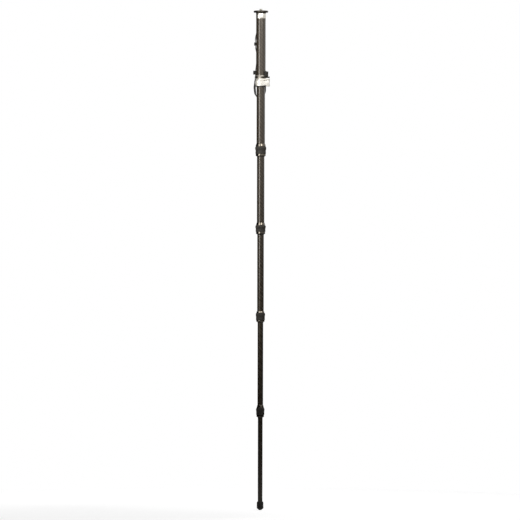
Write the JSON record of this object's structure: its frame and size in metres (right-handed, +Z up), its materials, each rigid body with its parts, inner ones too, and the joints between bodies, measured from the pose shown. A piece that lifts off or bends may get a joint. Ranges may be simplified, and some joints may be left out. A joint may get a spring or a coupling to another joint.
{
  "type": "camera monopod",
  "caption": "Telescopic camera monopod with a round plate and camera screw, a lever lock, twist locks, a wrist strap, and a rubber foot that turns up off a steel spike.",
  "frame": {"origin": "centre of the camera plate's top face, where the camera screw's stud leaves it, on the tube axis", "axes": "+Z up along the tube axis and the camera screw, -Y the side seen in the picture, where the lever and its oval badge face, +X towards the lever's hinge"},
  "size_m": [0.0517, 0.0542, 1.5555],
  "materials": {
    "black_anodised": "satin black",
    "pad_rubber": "matt",
    "bright_steel": "bright",
    "silver_metal": "satin",
    "carbon_tube": "clear gloss over woven fibre",
    "bearing_plastic": "smooth",
    "badge_metal": "plain",
    "clip_plastic": "fine grain",
    "webbing": "ribbed weave",
    "lock_grey": "satin grey",
    "grip_rubber": "matt",
    "seal_rubber": "matt",
    "plug_metal": "turned",
    "insert_brass": "turned",
    "foot_rubber": "matt"
  },
  "bodies": {
    "top_section": {"camera_screw": "bright_steel", "camera_plate": "black_anodised", "plate_pad": "pad_rubber", "plate_screws": "bright_steel", "top_cap": "silver_metal", "tube_1": "carbon_tube", "lock_collar": "black_anodised", "lock_liner": "bearing_plastic", "lever_pin": "bright_steel", "clamp_bolt": "bright_steel", "cam_washer": "bearing_plastic", "clamp_washer": "bright_steel", "clamp_nut": "bright_steel"},
    "lever": {"lock_lever": "silver_metal", "lever_badge": "badge_metal"},
    "strap": {"strap_ring": "black_anodised", "strap_clip": "clip_plastic", "strap_rivet": "bright_steel", "clip_screw": "bright_steel", "strap_webbing": "webbing"},
    "slider": {"strap_slider": "clip_plastic"},
    "section_2": {"tube_2": "carbon_tube", "guide_shims_2": "bearing_plastic", "ferrule_2": "lock_grey", "collet_2": "bearing_plastic"},
    "twist_lock_2": {"twist_ring_2": "lock_grey", "grip_2": "grip_rubber", "dust_seal_2": "seal_rubber"},
    "section_3": {"tube_3": "carbon_tube", "guide_shims_3": "bearing_plastic", "ferrule_3": "lock_grey", "collet_3": "bearing_plastic"},
    "twist_lock_3": {"twist_ring_3": "lock_grey", "grip_3": "grip_rubber", "dust_seal_3": "seal_rubber"},
    "section_4": {"tube_4": "carbon_tube", "guide_shims_4": "bearing_plastic", "ferrule_4": "lock_grey", "collet_4": "bearing_plastic"},
    "twist_lock_4": {"twist_ring_4": "lock_grey", "grip_4": "grip_rubber", "dust_seal_4": "seal_rubber"},
    "section_5": {"tube_5": "carbon_tube", "guide_shims_5": "bearing_plastic", "ferrule_5": "lock_grey", "collet_5": "bearing_plastic"},
    "twist_lock_5": {"twist_ring_5": "lock_grey", "grip_5": "grip_rubber", "dust_seal_5": "seal_rubber"},
    "section_6": {"tube_6": "carbon_tube", "guide_shims_6": "bearing_plastic", "foot_plug": "plug_metal", "foot_spike": "bright_steel"},
    "foot_insert": {"foot_insert": "insert_brass"},
    "foot": {"rubber_foot": "foot_rubber"}
  },
  "joints": [
    {"name": "lever_open", "type": "hinge", "parent": "top_section", "child": "lever", "pos_m": [0.02158, -0.014, -0.2254], "axis": [0, 0, 1], "range_deg": [0, 90]},
    {"name": "strap_swivel", "type": "hinge", "parent": "top_section", "child": "strap", "pos_m": [0, 0, -0.2066], "axis": [0, 0, 1], "range_deg": [-8, 90]},
    {"name": "slider_slide", "type": "slide", "parent": "strap", "child": "slider", "axis": [0, 0, 1], "range_m": [-0.004, 0.004]},
    {"name": "section_2_slide", "type": "slide", "parent": "top_section", "child": "section_2", "axis": [0, 0, 1], "range_m": [0, 0.1642]},
    {"name": "twist_2", "type": "hinge", "parent": "section_2", "child": "twist_lock_2", "pos_m": [0, 0, -0.4364], "axis": [0, 0, -1], "range_deg": [0, 180]},
    {"name": "section_3_slide", "type": "slide", "parent": "section_2", "child": "section_3", "axis": [0, 0, 1], "range_m": [0, 0.2037]},
    {"name": "twist_3", "type": "hinge", "parent": "section_3", "child": "twist_lock_3", "pos_m": [0, 0, -0.6793], "axis": [0, 0, -1], "range_deg": [0, 180]},
    {"name": "section_4_slide", "type": "slide", "parent": "section_3", "child": "section_4", "axis": [0, 0, 1], "range_m": [0, 0.2366]},
    {"name": "twist_4", "type": "hinge", "parent": "section_4", "child": "twist_lock_4", "pos_m": [0, 0, -0.9519], "axis": [0, 0, -1], "range_deg": [0, 180]},
    {"name": "section_5_slide", "type": "slide", "parent": "section_4", "child": "section_5", "axis": [0, 0, 1], "range_m": [0, 0.255]},
    {"name": "twist_5", "type": "hinge", "parent": "section_5", "child": "twist_lock_5", "pos_m": [0, 0, -1.2471], "axis": [0, 0, -1], "range_deg": [0, 180]},
    {"name": "section_6_slide", "type": "slide", "parent": "section_5", "child": "section_6", "axis": [0, 0, 1], "range_m": [0, 0.2539]},
    {"name": "foot_climb", "type": "slide", "parent": "section_6", "child": "foot_insert", "axis": [0, 0, 1], "range_m": [0, 0.006]},
    {"name": "foot_turn", "type": "hinge", "parent": "foot_insert", "child": "foot", "pos_m": [0, 0, -1.5341], "axis": [0, 0, 1], "range_deg": [0, 540]}
  ],
  "couplings": [
    {"joint": "foot_climb", "follows": "foot_turn", "m_per_rad": 0.0006366}
  ]
}
